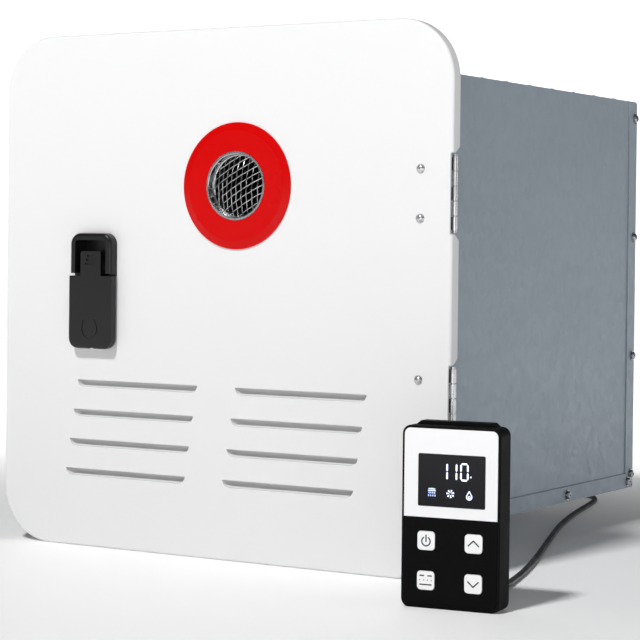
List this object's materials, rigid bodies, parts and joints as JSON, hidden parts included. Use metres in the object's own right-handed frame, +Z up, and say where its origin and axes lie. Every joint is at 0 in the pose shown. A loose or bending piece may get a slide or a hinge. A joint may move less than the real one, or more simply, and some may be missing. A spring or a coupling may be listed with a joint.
{
  "type": "tankless gas water heater",
  "caption": "Square-doored built-in tankless gas water heater with exhaust ring, louvres, folding latch, side hinges and a wired remote control.",
  "frame": {"origin": "centre of the wall screws, in the plane of the wall flange's rear face", "axes": "+X to the right as seen from outside, +Y into the vehicle along the wall screws, +Z up"},
  "size_m": [0.4604, 0.617, 0.381],
  "materials": {
    "galvanised_sheet": "galvanised steel sheet, matt with a faint spangle",
    "frame_sheet": "drawn steel sheet, satin grey",
    "zinc_hardware": "zinc-plated screws and rivets",
    "seal_rubber": "matt black seal",
    "door_white": "white powder coat, satin",
    "ring_red": "red enamel, semi-gloss",
    "stainless": "bright stainless steel",
    "latch_black": "black moulding, semi-gloss",
    "latch_steel": "zinc-plated steel",
    "hinge_steel": "bright plated steel",
    "aluminised_steel": "aluminised sheet, satin",
    "copper": "copper, lightly oxidised",
    "brass_fittings": "machined brass",
    "cast_aluminium": "die-cast, satin",
    "motor_black": "black paint, satin",
    "ceramic": "glazed ceramic",
    "sensor_plastic": "black nylon",
    "box_plastic": "grey moulding",
    "circuit_board": "green board with parts",
    "cable_sheath": "black flexible sheath",
    "control_black": "black moulding, fine matt texture",
    "control_face": "gloss panel, white above and black below",
    "display_dark": "dark display window with lit figures",
    "key_white": "white keys with dark symbols"
  },
  "bodies": {
    "cabinet": {"side_panel_left": "galvanised_sheet", "side_panel_right": "galvanised_sheet", "top_panel": "galvanised_sheet", "bottom_panel": "galvanised_sheet", "rear_panel": "galvanised_sheet", "front_frame": "frame_sheet", "cabinet_screws": "zinc_hardware", "top_rivets": "zinc_hardware", "door_gasket": "seal_rubber", "duct_seal": "seal_rubber", "flue_duct": "stainless", "hinge_frame_leaves": "hinge_steel", "hinge_pins": "hinge_steel", "burner_box": "aluminised_steel", "burner_bars": "aluminised_steel", "flue_hood": "aluminised_steel", "support_brackets": "aluminised_steel", "fan_housing": "aluminised_steel", "fan_motor": "motor_black", "heat_exchanger_shell": "copper", "heat_exchanger_fins": "copper", "heat_exchanger_tubes": "copper", "inlet_pipe": "copper", "outlet_pipe": "copper", "gas_pipe": "brass_fittings", "gas_manifold": "cast_aluminium", "gas_valve": "cast_aluminium", "gas_inlet_fitting": "brass_fittings", "water_inlet_fitting": "brass_fittings", "water_outlet_fitting": "brass_fittings", "flow_sensor": "sensor_plastic", "overheat_cutout": "sensor_plastic", "ignition_electrodes": "ceramic", "control_box": "box_plastic", "control_board": "circuit_board", "cable_gland": "sensor_plastic", "control_cable": "cable_sheath", "cable_coil": "cable_sheath", "cable_tail": "cable_sheath", "cable_boot": "cable_sheath", "control_shell": "control_black", "control_panel": "control_face", "display_window": "display_dark", "keypad_board": "circuit_board", "control_back": "control_black"},
    "door": {"door_panel": "door_white", "exhaust_ring": "ring_red", "exhaust_collar": "stainless", "exhaust_mesh": "stainless", "latch_bezel": "latch_black", "hinge_door_leaves": "hinge_steel", "hinge_screws": "hinge_steel"},
    "latch_turret": {"latch_spindle": "latch_steel", "latch_cam": "latch_steel"},
    "latch_paddle": {"latch_handle": "latch_black"},
    "fan": {"fan_wheel": "aluminised_steel"},
    "power_key": {"key_power": "key_white"},
    "up_key": {"key_up": "key_white"},
    "mode_key": {"key_mode": "key_white"},
    "down_key": {"key_down": "key_white"}
  },
  "joints": [
    {"name": "door_swing", "type": "hinge", "parent": "cabinet", "child": "door", "pos_m": [0.1889, -0.0052, 0], "axis": [0, 0, 1], "range_deg": [0, 90]},
    {"name": "latch_turn", "type": "hinge", "parent": "door", "child": "latch_turret", "pos_m": [-0.1049, -0.014, -0.036], "axis": [0, -1, 0], "range_deg": [0, 90]},
    {"name": "latch_lift", "type": "hinge", "parent": "latch_turret", "child": "latch_paddle", "pos_m": [-0.1049, -0.01675, -0.04015], "axis": [1, 0, 0], "range_deg": [0, 90]},
    {"name": "fan_spin", "type": "hinge", "parent": "cabinet", "child": "fan", "pos_m": [-0.03, 0.165, 0.08], "axis": [0, 0, 1], "continuous": true},
    {"name": "key_power_press", "type": "slide", "parent": "cabinet", "child": "power_key", "axis": [-0.1167, 0.9932, 0], "range_m": [0, 0.0005], "stiffness_N_per_m": 300},
    {"name": "key_up_press", "type": "slide", "parent": "cabinet", "child": "up_key", "axis": [-0.1167, 0.9932, 0], "range_m": [0, 0.0005], "stiffness_N_per_m": 300},
    {"name": "key_mode_press", "type": "slide", "parent": "cabinet", "child": "mode_key", "axis": [-0.1167, 0.9932, 0], "range_m": [0, 0.0005], "stiffness_N_per_m": 300},
    {"name": "key_down_press", "type": "slide", "parent": "cabinet", "child": "down_key", "axis": [-0.1167, 0.9932, 0], "range_m": [0, 0.0005], "stiffness_N_per_m": 300}
  ],
  "couplings": [
    {"joint": "latch_turn", "follows": "latch_lift", "ratio": 1}
  ]
}
